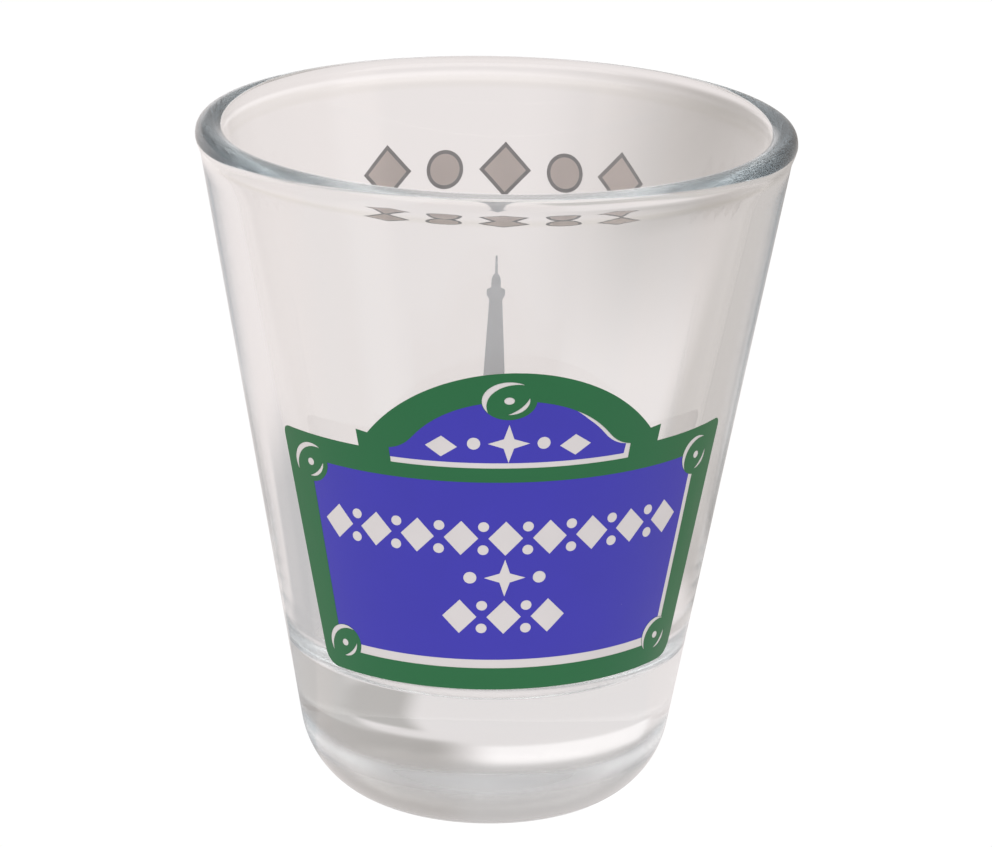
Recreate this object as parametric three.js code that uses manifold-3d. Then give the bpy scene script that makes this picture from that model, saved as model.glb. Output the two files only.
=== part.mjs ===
// Souvenir shot glass: a heavy-based pressed tumbler with screen-printed enamel on its outer wall.
// Millimetres, +Z up. The origin is the centre of the underside and the front print faces -Y.
//
// The prints are thin coats of fired enamel. Each coat is one solid: a slice of a conical shell that
// follows the wall, cut to its outline. Outlines are drawn on the unrolled wall, with x as the arc
// length from the print's centre line and y as the height above the underside.

import * as THREE from 'three';
import { mergeVertices } from 'three/addons/utils/BufferGeometryUtils.js';
import Module from 'manifold-3d';

// Glass body
const HEIGHT = 60;
const RIM_RADIUS = 25.64;
const WALL_BASE_RADIUS = 15.12;
const WALL_SLOPE = (RIM_RADIUS - WALL_BASE_RADIUS) / HEIGHT;
const BASE_CORNER_WIDTH = 5.24;
const BASE_CORNER_HEIGHT = 6.23;
const PUNT_RADIUS = 7.2;
const PUNT_DEPTH = 0.6;
const RIM_BEAD = 1.2;
const RIM_BLEND = 1.4;
const FLOOR_HEIGHT = 13;
const FLOOR_CORNER = 4;
const INNER_FLOOR_RADIUS = 15;
const SEGMENTS = 96;
const ARC_STEPS = 6;

// Enamel coats: the distance of each coat's two faces from the wall
const WHITE_COAT = { low: 0.02, high: 0.07 };
const BLUE_COAT = { low: 0.09, high: 0.14 };
const GREEN_COAT = { low: 0.16, high: 0.21 };
const BACK_COAT = { low: 0.02, high: 0.07 };
const PRINTED_BAND = { bottom: 12, top: 56 };

// Front plaque, on the unrolled wall
const PLAQUE_TILT = 0.7 * THREE.MathUtils.DEG2RAD;
const PLAQUE_MIDDLE = 26;
const PLAQUE = { bottom: 15.2, top: 37.05, bottomHalf: 16.9, topHalf: 22.0, corner: 1.5, ear: 0.9 };
const HORN = { half: 13.5, step: 13.2, top: 38.55 };
const ARCH = { half: 12.4, foot: 38.4, top: 44.7 };
const FIELD = { bottom: 17.25, top: 34.75, bottomHalf: 15.1, topHalf: 18.5 };
const ARCH_FIELD = { bottom: 36.05, top: 42.2, half: 10.4, tip: 37.35 };
const FIELD_HIGHLIGHT = new THREE.Vector2(-0.4, 0.82);
const ARCH_HIGHLIGHT = new THREE.Vector2(-0.45, 0.48);

// Oval bolt heads drawn on the plaque, and their marks on a head of radius 1
const BOLTS = [
  { x: -18.4, y: 34.4, halfWidth: 1.95, halfHeight: 1.8 },
  { x: 18.4, y: 34.4, halfWidth: 1.95, halfHeight: 1.8 },
  { x: -14.75, y: 17.85, halfWidth: 1.74, halfHeight: 1.74 },
  { x: 14.75, y: 17.85, halfWidth: 1.74, halfHeight: 1.74 },
  { x: -0.35, y: 42.2, halfWidth: 2.3, halfHeight: 1.72 },
];
const BOLT_GLINT = { radius: 0.95, thickness: 0.27, span: 165, direction: 138 };
const BOLT_SHADE = { radius: 0.74, thickness: 0.17, span: 105, direction: -42 };
const BOLT_DOT = 0.19;

// Ornament on the plaque: rows of lozenges with a pair of studs in each gap, and two stars
const LOZENGE = { halfWidth: 1.45, halfHeight: 1.6, pitch: 3.72 };
const ROW_STUD = { radius: 0.46, rise: 1.08 };
const LOZENGE_ROWS = [
  { x: -0.35, y: 29.55, count: 9 },
  { x: -0.35, y: 22.15, count: 3 },
];
const STARS = [
  { x: -0.35, y: 25.85, reach: 1.75, waist: 0.62 },
  { x: -0.3, y: 38.3, reach: 1.75, waist: 0.6 },
];
const STAR_STUDS = { offset: 2.9, radius: 0.55 };
const ARCH_LOZENGES = { offset: 5.6, halfWidth: 1.35, halfHeight: 0.95, drop: 0.35 };

// Back prints
const TOWER_AXIS = 174.1 * THREE.MathUtils.DEG2RAD;
const FRIEZE_AXIS = 172.7 * THREE.MathUtils.DEG2RAD;
const FRIEZE = { y: 49.7, pitch: 5.7, count: 5, outline: 0.34, gap: 0.04 };
const FRIEZE_LOZENGE = { halfWidth: 2.45, halfHeight: 2.5 };
const FRIEZE_DISC = 1.75;

const wasm = await Module();
wasm.setup();

// Outer radius of the plain conical wall at a height above the underside.
function wallRadius(height) {
  return WALL_BASE_RADIUS + WALL_SLOPE * height;
}

// A closed three.js geometry as a solid that can be cut and joined.
function solidOf(geometry) {
  const bare = geometry.clone();
  bare.deleteAttribute('normal');
  bare.deleteAttribute('uv');
  const merged = mergeVertices(bare, 1e-5);
  return new wasm.Manifold(new wasm.Mesh({
    numProp: 3,
    vertProperties: merged.attributes.position.array,
    triVerts: new Uint32Array(merged.index.array),
  }));
}

function geometryOf(solid) {
  const { vertProperties, triVerts } = solid.getMesh();
  const geometry = new THREE.BufferGeometry();
  geometry.setAttribute('position', new THREE.BufferAttribute(vertProperties, 3));
  geometry.setIndex(new THREE.BufferAttribute(triVerts, 1));
  geometry.computeVertexNormals();
  return geometry;
}

// Turn a profile of (radius, height) points about the Z axis.
function lathe(points) {
  return new THREE.LatheGeometry(points, SEGMENTS).rotateX(Math.PI / 2);
}

// Points on a quarter or half ellipse in the profile plane, from one angle to another.
function ellipsePoints(centreRadius, centreHeight, width, height, start, end, steps) {
  return Array.from({ length: steps + 1 }, (_, step) => {
    const angle = start + (end - start) * step / steps;
    return new THREE.Vector2(
      centreRadius + width * Math.cos(angle),
      centreHeight + height * Math.sin(angle),
    );
  });
}

// The underside: a shallow dome inside a flat bearing ring.
function puntPoints() {
  return Array.from({ length: 4 }, (_, step) => {
    const across = step / 3;
    return new THREE.Vector2(PUNT_RADIUS * across, PUNT_DEPTH * (1 - across * across));
  });
}

// The rounded heel of the base leans with the wall that it runs into.
function heelPoints() {
  const corner = ellipsePoints(
    WALL_BASE_RADIUS - BASE_CORNER_WIDTH, BASE_CORNER_HEIGHT,
    BASE_CORNER_WIDTH, BASE_CORNER_HEIGHT, -Math.PI / 2, 0, 8,
  );
  return corner.map((point) => new THREE.Vector2(point.x + WALL_SLOPE * point.y, point.y));
}

// The wall ends in a round bead, and the cavity has a flat floor with a rounded corner.
function rimAndCavityPoints() {
  const beadHeight = HEIGHT - RIM_BEAD;
  const beadCentre = RIM_RADIUS - RIM_BEAD;
  const neck = new THREE.Vector2(wallRadius(beadHeight - RIM_BLEND), beadHeight - RIM_BLEND);
  const bead = ellipsePoints(
    beadCentre, beadHeight, RIM_BEAD, RIM_BEAD, 0, Math.PI, 2 * ARC_STEPS,
  );
  const floorCorner = ellipsePoints(
    INNER_FLOOR_RADIUS - FLOOR_CORNER, FLOOR_HEIGHT + FLOOR_CORNER,
    FLOOR_CORNER, FLOOR_CORNER, 0, -Math.PI / 2, ARC_STEPS,
  );
  return [neck, ...bead, ...floorCorner, new THREE.Vector2(0, FLOOR_HEIGHT)];
}

function glassBody() {
  return lathe([...puntPoints(), ...heelPoints(), ...rimAndCavityPoints()]);
}

// A full ring of one coat, which the prints are cut from.
function coatShell({ low, high }) {
  const { bottom, top } = PRINTED_BAND;
  const corners = [
    new THREE.Vector2(wallRadius(bottom) + low, bottom),
    new THREE.Vector2(wallRadius(bottom) + high, bottom),
    new THREE.Vector2(wallRadius(top) + high, top),
    new THREE.Vector2(wallRadius(top) + low, top),
  ];
  return solidOf(lathe([...corners, corners[0].clone()]));
}

// An outline on the unrolled wall, wrapped round the wall and run through it along Y.
function prism(points, axis) {
  const behind = Math.cos(axis) < 0;
  const wrapped = points.map(({ x, y }) => {
    const radius = wallRadius(y);
    return new THREE.Vector2(radius * Math.sin(axis + x / radius), y);
  });
  const depth = RIM_RADIUS + RIM_BEAD;
  const block = new THREE.ExtrudeGeometry(new THREE.Shape(wrapped), { depth, bevelEnabled: false });
  block.rotateX(Math.PI / 2);
  block.translate(0, behind ? depth : 0, 0);
  return solidOf(block);
}

// The plaque sits a little crooked, so its outlines are turned about its middle before wrapping.
function plaquePrism(points) {
  const middle = new THREE.Vector2(0, PLAQUE_MIDDLE);
  return prism(points.map((point) => point.clone().rotateAround(middle, PLAQUE_TILT)), 0);
}

// A closed outline from its right half, which runs from the lower to the upper centre point.
function mirrored(halfPath) {
  const right = halfPath.getPoints(ARC_STEPS * 2);
  const left = right.slice(1, -1).reverse().map(({ x, y }) => new THREE.Vector2(-x, y));
  return [...right, ...left];
}

function moved(points, { x, y }) {
  return points.map((point) => new THREE.Vector2(point.x + x, point.y + y));
}

function discOutline(x, y, radius, steps = 20) {
  return ellipsePoints(x, y, radius, radius, 0, 2 * Math.PI, steps).slice(0, -1);
}

function lozengeOutline(x, y, halfWidth, halfHeight) {
  return ellipsePoints(x, y, halfWidth, halfHeight, 0, 2 * Math.PI, 4).slice(0, -1);
}

// A four-pointed star: its eight corners lie in turn at its reach and at its waist.
function starOutline({ x, y, reach, waist }) {
  return Array.from({ length: 8 }, (_, corner) => {
    const angle = corner * Math.PI / 4;
    const distance = corner % 2 === 0 ? reach : waist;
    return new THREE.Vector2(x + distance * Math.cos(angle), y + distance * Math.sin(angle));
  });
}

// A round outline of a unit bolt head, brought to a bolt's place and oval.
function boltOutline({ x, y, halfWidth, halfHeight }, shift, radius, steps = 32) {
  return ellipsePoints(
    x + halfWidth * shift.x, y + halfHeight * shift.y,
    halfWidth * radius, halfHeight * radius, 0, 2 * Math.PI, steps,
  ).slice(0, -1);
}

// A crescent between two circles. The inner circle's shift follows from thickness and span.
function crescentPrism(bolt, { radius, thickness, span, direction }) {
  const cosine = Math.cos(span / 2 * THREE.MathUtils.DEG2RAD);
  const shift = thickness * (2 * radius - thickness) / (2 * (radius - thickness - radius * cosine));
  const turn = direction * THREE.MathUtils.DEG2RAD;
  const innerShift = new THREE.Vector2(-shift * Math.cos(turn), -shift * Math.sin(turn));
  const outer = boltOutline(bolt, new THREE.Vector2(), radius);
  const inner = boltOutline(bolt, innerShift, radius + shift - thickness);
  return plaquePrism(outer).subtract(plaquePrism(inner));
}

// The glint, shade and dot that are left bare in one bolt head.
function boltMarks(bolt) {
  const dot = plaquePrism(boltOutline(bolt, new THREE.Vector2(), BOLT_DOT, 12));
  return [crescentPrism(bolt, BOLT_GLINT), crescentPrism(bolt, BOLT_SHADE), dot];
}

function boltHeads() {
  return BOLTS.map((bolt) => plaquePrism(boltOutline(bolt, new THREE.Vector2(), 1)));
}

function plaqueOutline() {
  const { bottom, top, bottomHalf, topHalf, corner, ear } = PLAQUE;
  const flare = (topHalf - bottomHalf) / (top - bottom);
  const rise = ARCH.top - ARCH.foot;
  const archRadius = (ARCH.half ** 2 + rise ** 2) / (2 * rise);
  const archCentre = ARCH.top - archRadius;
  const half = new THREE.Path();
  half.moveTo(0, bottom);
  half.lineTo(bottomHalf - corner, bottom);
  half.quadraticCurveTo(bottomHalf, bottom, bottomHalf + flare * corner, bottom + corner);
  half.lineTo(topHalf - flare * ear, top - ear);
  half.quadraticCurveTo(topHalf, top, topHalf - ear, top);
  half.lineTo(HORN.step, top);
  half.lineTo(HORN.half, HORN.top);
  half.lineTo(ARCH.half, ARCH.foot);
  half.absarc(0, archCentre, archRadius, Math.acos(ARCH.half / archRadius), Math.PI / 2, false);
  return mirrored(half);
}

function fieldOutline() {
  const { bottom, top, bottomHalf, topHalf } = FIELD;
  return [[-bottomHalf, bottom], [bottomHalf, bottom], [topHalf, top], [-topHalf, top]]
    .map(([x, y]) => new THREE.Vector2(x, y));
}

function archFieldOutline() {
  const { bottom, top, half: width, tip } = ARCH_FIELD;
  const half = new THREE.Path();
  half.moveTo(0, bottom);
  half.lineTo(width - 0.2, bottom);
  half.lineTo(width, tip);
  half.quadraticCurveTo(width - 1.2, tip + 0.2, width - 2.0, tip + 1.2);
  half.quadraticCurveTo(width - 4.8, top - 0.15, 0, top);
  return mirrored(half);
}

function plaqueWhite() {
  return coatShell(WHITE_COAT).intersect(plaquePrism(plaqueOutline()));
}

// Green border: windows for the two blue fields, and the bolt heads standing over their edges.
function plaqueGreen() {
  const windows = [fieldOutline(), archFieldOutline()].map(plaquePrism);
  const plate = wasm.Manifold.union([
    plaquePrism(plaqueOutline()).subtract(wasm.Manifold.union(windows)),
    ...boltHeads(),
  ]);
  const marks = wasm.Manifold.union(BOLTS.flatMap(boltMarks));
  return coatShell(GREEN_COAT).intersect(plate.subtract(marks));
}

// One ornament row: lozenges, with one stud above and one below the gap between each two.
function rowPrisms({ x: middle, y, count }) {
  const { halfWidth, halfHeight, pitch } = LOZENGE;
  const first = middle - pitch * (count - 1) / 2;
  const lozenges = Array.from({ length: count }, (_, index) => (
    lozengeOutline(first + index * pitch, y, halfWidth, halfHeight)
  ));
  const studs = Array.from({ length: count - 1 }, (_, index) => first + (index + 0.5) * pitch)
    .flatMap((x) => [-1, 1].map((side) => (
      discOutline(x, y + side * ROW_STUD.rise, ROW_STUD.radius, 12)
    )));
  return [...lozenges, ...studs].map(plaquePrism);
}

// A star with a stud on each side.
function starPrisms(star) {
  const studs = [-1, 1].map((side) => (
    plaquePrism(discOutline(star.x + side * STAR_STUDS.offset, star.y, STAR_STUDS.radius, 12))
  ));
  return [plaquePrism(starOutline(star)), ...studs];
}

// Each field is printed up and to the left of its window, so the white ground beneath shows as a
// highlight along its lower and right edges. It stops at the bolt heads, whose marks are white.
function plaqueBlueField() {
  const bare = [...LOZENGE_ROWS.flatMap(rowPrisms), ...starPrisms(STARS[0]), ...boltHeads()];
  const field = plaquePrism(moved(fieldOutline(), FIELD_HIGHLIGHT));
  return coatShell(BLUE_COAT).intersect(field.subtract(wasm.Manifold.union(bare)));
}

function plaqueBlueArch() {
  const star = STARS[1];
  const { offset, halfWidth, halfHeight, drop } = ARCH_LOZENGES;
  const lozenges = [-1, 1].map((side) => (
    plaquePrism(lozengeOutline(star.x + side * offset, star.y - drop, halfWidth, halfHeight))
  ));
  const bare = wasm.Manifold.union([...starPrisms(star), ...lozenges, ...boltHeads()]);
  const field = plaquePrism(moved(archFieldOutline(), ARCH_HIGHLIGHT));
  return coatShell(BLUE_COAT).intersect(field.subtract(bare));
}

// A plain look-out tower: mast, cap, gallery, tapering shaft and a stepped foot.
function towerPrint() {
  const half = new THREE.Path();
  half.moveTo(0, 17);
  half.lineTo(4.2, 17);
  half.lineTo(4.2, 18.2);
  half.lineTo(3.2, 18.2);
  half.quadraticCurveTo(1.6, 24, 1.05, 31.3);
  half.lineTo(0.64, 37.8);
  half.lineTo(0.9, 38.2);
  half.lineTo(0.9, 38.7);
  half.lineTo(0.46, 38.9);
  half.lineTo(0.46, 39.5);
  half.quadraticCurveTo(0.4, 39.95, 0.14, 40.1);
  half.lineTo(0.1, 41.7);
  half.lineTo(0, 41.75);
  return coatShell(BACK_COAT).intersect(prism(mirrored(half), TOWER_AXIS));
}

// The outline of one frieze motif, drawn in by an inset: lozenges and discs in turn.
function friezeOutline(index, inset) {
  const x = (index - (FRIEZE.count - 1) / 2) * FRIEZE.pitch;
  if (index % 2 === 1) {
    return discOutline(x, FRIEZE.y, FRIEZE_DISC - inset, 24);
  }
  const { halfWidth, halfHeight } = FRIEZE_LOZENGE;
  const corner = inset * Math.SQRT2;
  return lozengeOutline(x, FRIEZE.y, halfWidth - corner, halfHeight - corner);
}

function friezeRim(index) {
  const outer = prism(friezeOutline(index, 0), FRIEZE_AXIS);
  const inner = prism(friezeOutline(index, FRIEZE.outline), FRIEZE_AXIS);
  return coatShell(BACK_COAT).intersect(outer.subtract(inner));
}

function friezeFill(index) {
  const inset = FRIEZE.outline + FRIEZE.gap;
  return coatShell(BACK_COAT).intersect(prism(friezeOutline(index, inset), FRIEZE_AXIS));
}

const MATERIALS = {
  glass: new THREE.MeshStandardMaterial({
    color: 0xe6e2de, roughness: 0.03, metalness: 0, transparent: true, opacity: 0.35,
  }),
  white: new THREE.MeshStandardMaterial({ color: 0xe2dbdb, roughness: 0.35, metalness: 0 }),
  green: new THREE.MeshStandardMaterial({ color: 0x2e764c, roughness: 0.3, metalness: 0 }),
  blue: new THREE.MeshStandardMaterial({ color: 0x483eb4, roughness: 0.3, metalness: 0 }),
  slate: new THREE.MeshStandardMaterial({ color: 0x8d9aa6, roughness: 0.4, metalness: 0 }),
  taupe: new THREE.MeshStandardMaterial({ color: 0xb0a5a0, roughness: 0.4, metalness: 0 }),
  umber: new THREE.MeshStandardMaterial({ color: 0x6f6a69, roughness: 0.4, metalness: 0 }),
};

const shotGlass = new THREE.Group();

function add(name, geometry, material) {
  const mesh = new THREE.Mesh(geometry, material);
  mesh.name = name;
  shotGlass.add(mesh);
}

add('glass_body', glassBody(), MATERIALS.glass);
add('plaque_white_ground', geometryOf(plaqueWhite()), MATERIALS.white);
add('plaque_blue_field', geometryOf(plaqueBlueField()), MATERIALS.blue);
add('plaque_blue_arch', geometryOf(plaqueBlueArch()), MATERIALS.blue);
add('plaque_green_border', geometryOf(plaqueGreen()), MATERIALS.green);
add('tower_print', geometryOf(towerPrint()), MATERIALS.slate);
for (let index = 0; index < FRIEZE.count; index += 1) {
  add(`frieze_rim_${index + 1}`, geometryOf(friezeRim(index)), MATERIALS.umber);
  add(`frieze_fill_${index + 1}`, geometryOf(friezeFill(index)), MATERIALS.taupe);
}

export default shotGlass;
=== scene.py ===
"""A souvenir shot glass: clear pressed glass with a sign-shaped enamel plaque and two back prints.

The glass body is spun from its profile. Every print is drawn on the unrolled wall, where x is the
arc length from the print's centre line and y is the height above the underside, and is then
wrapped round the wall as a thin coat of fired enamel. Sizes are in millimetres until a mesh is
handed over, and in metres from then on.
"""

import logging
import math
from collections.abc import Iterable
from dataclasses import dataclass, field
from enum import Enum

import bmesh
import bpy
from bmesh.types import BMesh, BMVert
from bpy.types import ID, Material, Node, NodeSocket, NodeTree, Object
from mathutils import Matrix, Vector


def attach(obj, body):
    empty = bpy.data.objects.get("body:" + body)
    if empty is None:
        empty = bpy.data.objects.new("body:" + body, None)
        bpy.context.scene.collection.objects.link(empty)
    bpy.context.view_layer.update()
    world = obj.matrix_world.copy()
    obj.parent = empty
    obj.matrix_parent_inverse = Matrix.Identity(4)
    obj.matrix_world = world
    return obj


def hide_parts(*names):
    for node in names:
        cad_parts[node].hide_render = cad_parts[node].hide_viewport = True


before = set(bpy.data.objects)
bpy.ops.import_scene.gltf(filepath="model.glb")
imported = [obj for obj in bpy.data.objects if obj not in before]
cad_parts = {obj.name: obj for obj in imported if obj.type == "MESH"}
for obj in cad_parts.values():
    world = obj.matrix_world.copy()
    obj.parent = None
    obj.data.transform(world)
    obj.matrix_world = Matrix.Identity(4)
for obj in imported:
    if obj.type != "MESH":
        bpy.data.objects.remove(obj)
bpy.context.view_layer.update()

MM = 0.001
BODY = "root"
LOG = logging.getLogger("shot_glass")

HALVINGS = 40
MERGE = 1e-5
ORIGIN = Vector((0, 0))
SIDES = (-1, 1)

Outline = list[Vector]
Triple = tuple[float, float, float]


class Layer(Enum):
    """The enamel coats in the order they are printed: distance of both faces from the wall, mm."""

    GROUND = (0.004, 0.016)
    COLOUR = (0.010, 0.026)
    BORDER = (0.020, 0.038)


# --- Drawing on the unrolled wall ---


def arc(centre: Vector, width: float, height: float, start: float, end: float, steps: int) -> Outline:
    """Points along an arc of an ellipse with two half axes, from one angle in degrees to another."""
    angles = [math.radians(start + (end - start) * step / steps) for step in range(steps + 1)]
    return [centre + Vector((width * math.cos(a), height * math.sin(a))) for a in angles]


def bend(start: Vector, pull: Vector, end: Vector, steps: int = 16) -> Outline:
    """Points along a curve that is drawn towards a point, without its first one."""
    shares = [step / steps for step in range(1, steps + 1)]
    return [start * (1 - t) ** 2 + pull * 2 * t * (1 - t) + end * t * t for t in shares]


def disc(centre: Vector, radius: float, steps: int = 48) -> Outline:
    """A closed circle as a list of points."""
    return arc(centre, radius, radius, 0, 360, steps)[:-1]


def lozenge(centre: Vector, width: float, height: float) -> Outline:
    """A closed lozenge from its half width and half height."""
    return arc(centre, width, height, 0, 360, steps=4)[:-1]


def star(centre: Vector, reach: float, waist: float) -> Outline:
    """A closed four-pointed star, from the distances of its points and of the corners between."""
    turns = [(corner * math.pi / 4, waist if corner % 2 else reach) for corner in range(8)]
    return [centre + Vector((math.cos(a), math.sin(a))) * distance for a, distance in turns]


def mirrored(half: Outline) -> Outline:
    """Closes an outline from its right half, which runs from the lower to the upper centre point."""
    return half + [Vector((-point.x, point.y)) for point in reversed(half[1:-1])]


def spot(x: float, y: float) -> Vector:
    """A dataclass default for a point or a size: each object gets a vector of its own."""
    return field(default_factory=lambda: Vector((x, y)))


def beside(place: Vector, side: float) -> Vector:
    """A point on the right (1) or its mirror image on the left (-1)."""
    return Vector((side * place.x, place.y))


def moved(outline: Outline, shift: Vector) -> Outline:
    """The outline moved by a vector."""
    return [point + shift for point in outline]


def crossing(outer: Vector, inner: Vector) -> Vector:
    """Where the straight line from a point outside the unit circle to one inside it goes in.

    Args:
        outer: The point outside.
        inner: The point inside.

    Returns:
        The point on the circle.
    """
    near, far = 0.0, 1.0
    for _ in range(HALVINGS):
        middle = (near + far) / 2
        if outer.lerp(inner, middle).length > 1:
            near = middle
        else:
            far = middle
    return outer.lerp(inner, far)


def bitten(outline: Outline) -> Outline:
    """Cuts the unit disc out of an outline's edge.

    Args:
        outline: A closed outline, drawn anticlockwise.

    Returns:
        The outline with the part inside the disc replaced by an arc of the disc.
    """
    outside = [point.length > 1 for point in outline]
    if all(outside):
        return outline
    first = next(i for i, out in enumerate(outside) if out and not outside[i - 1])
    ring = outline[first:] + outline[:first]
    kept = [point for point in ring if point.length > 1]
    leave, back = crossing(kept[-1], ring[len(kept)]), crossing(kept[0], ring[-1])
    start = math.degrees(math.atan2(leave.y, leave.x))
    end = math.degrees(math.atan2(back.y, back.x))
    if end > start:
        end -= 360
    return kept + arc(ORIGIN, 1, 1, start, end, steps=24)


def crescent(radius: float, thickness: float, span: float, facing: float) -> Outline:
    """A crescent between two arcs, the outer one round the origin.

    Args:
        radius: Radius of the outer arc.
        thickness: Width at the middle of the crescent.
        span: Angle that the outer arc covers, in degrees.
        facing: Direction of its middle, in degrees.

    Returns:
        The closed crescent.
    """
    cosine = math.cos(math.radians(span / 2))
    shift = thickness * (2 * radius - thickness) / (2 * (radius - thickness - radius * cosine))
    inner_radius = radius + shift - thickness
    turn = math.radians(facing)
    inner_centre = Vector((math.cos(turn), math.sin(turn))) * -shift
    inner_half = math.degrees(math.asin(radius * math.sin(math.radians(span / 2)) / inner_radius))
    outer = arc(ORIGIN, radius, radius, facing - span / 2, facing + span / 2, steps=24)
    inner = arc(
        inner_centre, inner_radius, inner_radius, facing + inner_half, facing - inner_half, steps=20
    )
    return outer + inner[1:-1]


# --- Shader building blocks ---


def link(tree: NodeTree, source: NodeSocket, target: NodeSocket) -> None:
    """Joins two sockets of a node tree."""
    tree.links.new(source, target)


def new_node(tree: NodeTree, kind: str, **values: object) -> Node:
    """Adds a node and sets its properties and input defaults.

    Args:
        tree: The node tree to add to.
        kind: Blender's node type name.
        **values: Properties of the node, or names of its inputs with spaces as underscores.

    Returns:
        The new node.
    """
    node = tree.nodes.new(kind)
    for name, value in values.items():
        if hasattr(node, name):
            setattr(node, name, value)
        else:
            node.inputs[name.replace("_", " ")].default_value = value
    return node


def rgba(mix: Node, name: str) -> NodeSocket:
    """The colour input A or B of a Mix node, which has inputs of the same name for other data."""
    return next(socket for socket in mix.inputs if socket.name == name and socket.type == "RGBA")


def rgba_out(mix: Node) -> NodeSocket:
    """The colour result of a Mix node."""
    return next(socket for socket in mix.outputs if socket.type == "RGBA")


def noise_field(tree: NodeTree, place: NodeSocket, scale: float, detail: float) -> NodeSocket:
    """Adds a noise texture on the given coordinates.

    Args:
        tree: The node tree to add to.
        place: The coordinates.
        scale: Cells per metre.
        detail: Finer layers.

    Returns:
        The noise value.
    """
    noise = new_node(tree, "ShaderNodeTexNoise", Scale=scale, Detail=detail)
    link(tree, place, noise.inputs["Vector"])
    return noise.outputs["Fac"]


def maths(tree: NodeTree, operation: str, *operands: NodeSocket | float) -> NodeSocket:
    """Adds a Math node.

    Args:
        tree: The node tree to add to.
        operation: What it works out.
        *operands: Its operands in order: a socket is linked, a number is set.

    Returns:
        The result.
    """
    node = new_node(tree, "ShaderNodeMath", operation=operation)
    for index, operand in enumerate(operands):
        if isinstance(operand, NodeSocket):
            link(tree, operand, node.inputs[index])
        else:
            node.inputs[index].default_value = operand
    return node.outputs[0]


def vector_maths(
    tree: NodeTree, operation: str, vector: NodeSocket, other: Triple | None = None
) -> Node:
    """Adds a Vector Math node on a linked vector and, if there is one, a constant vector.

    Args:
        tree: The node tree to add to.
        operation: What it works out.
        vector: The linked vector.
        other: The constant one.

    Returns:
        The node.
    """
    node = new_node(tree, "ShaderNodeVectorMath", operation=operation)
    link(tree, vector, node.inputs[0])
    if other:
        node.inputs[1].default_value = other
    return node


def smooth_step(tree: NodeTree, value: NodeSocket, start: float, end: float) -> NodeSocket:
    """Adds a smooth step of a value, from 0 at start to 1 at end.

    Args:
        tree: The node tree to add to.
        value: The value.
        start: Where the step starts.
        end: Where it ends.

    Returns:
        The share, from 0 to 1.
    """
    step = new_node(tree, "ShaderNodeMapRange", interpolation_type="SMOOTHSTEP")
    step.inputs["From Min"].default_value = start
    step.inputs["From Max"].default_value = end
    link(tree, value, step.inputs["Value"])
    return step.outputs["Result"]


def blend(tree: NodeTree, share: NodeSocket, first: NodeSocket, second: NodeSocket) -> NodeSocket:
    """Adds a colour mix of two sockets.

    Args:
        tree: The node tree to add to.
        share: The second colour's share.
        first: One colour.
        second: The other one.

    Returns:
        The mixed colour.
    """
    mix = new_node(tree, "ShaderNodeMix", data_type="RGBA")
    link(tree, share, mix.inputs["Factor"])
    link(tree, first, rgba(mix, "A"))
    link(tree, second, rgba(mix, "B"))
    return rgba_out(mix)


def new_group(name: str, inputs: dict[str, str], outputs: dict[str, str]) -> tuple[NodeTree, Node, Node]:
    """Starts a node group.

    Args:
        name: Name of the group.
        inputs: The kind of each input, by its name.
        outputs: The kind of each output, by its name.

    Returns:
        The group, its input node and its output node.
    """
    group = bpy.data.node_groups.new(name, "ShaderNodeTree")
    for side, sockets in (("INPUT", inputs), ("OUTPUT", outputs)):
        for socket, kind in sockets.items():
            group.interface.new_socket(name=socket, in_out=side, socket_type=f"NodeSocket{kind}")
    return group, group.nodes.new("NodeGroupInput"), group.nodes.new("NodeGroupOutput")


# Scale and detail of each noise, per metre.
MOTTLE_NOISE = (260, 3)
GRAIN_NOISE = (5200, 2)
WAVE_NOISE = (55, 1)
SMEAR_NOISE = (140, 4)
# The pinholes: cells per metre, and the share of the cells that have none.
PINHOLE_SCALE = 900.0
PINHOLE_FREE = 0.86
# How much the mottling roughens an enamel.
MOTTLE_ROUGHNESS = 0.16
# Handling marks: the noise value where they start, and where they are full.
MARKS_START, MARKS_FULL = 0.62, 0.85
# Heights on the glass in metres, each where an effect ends and where it is full.
WEAR_END, WEAR_FULL = 0.004, 0.0
PRESSED_END, PRESSED_FULL = 0.021, 0.016
FIRED_END, FIRED_FULL = 0.0580, 0.0592
# Half width of the thin band of painted shade just under the lip, in metres.
SHADE_BAND_HALF_WIDTH = 0.0005
LEVEL = (1, 1, 0)


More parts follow.
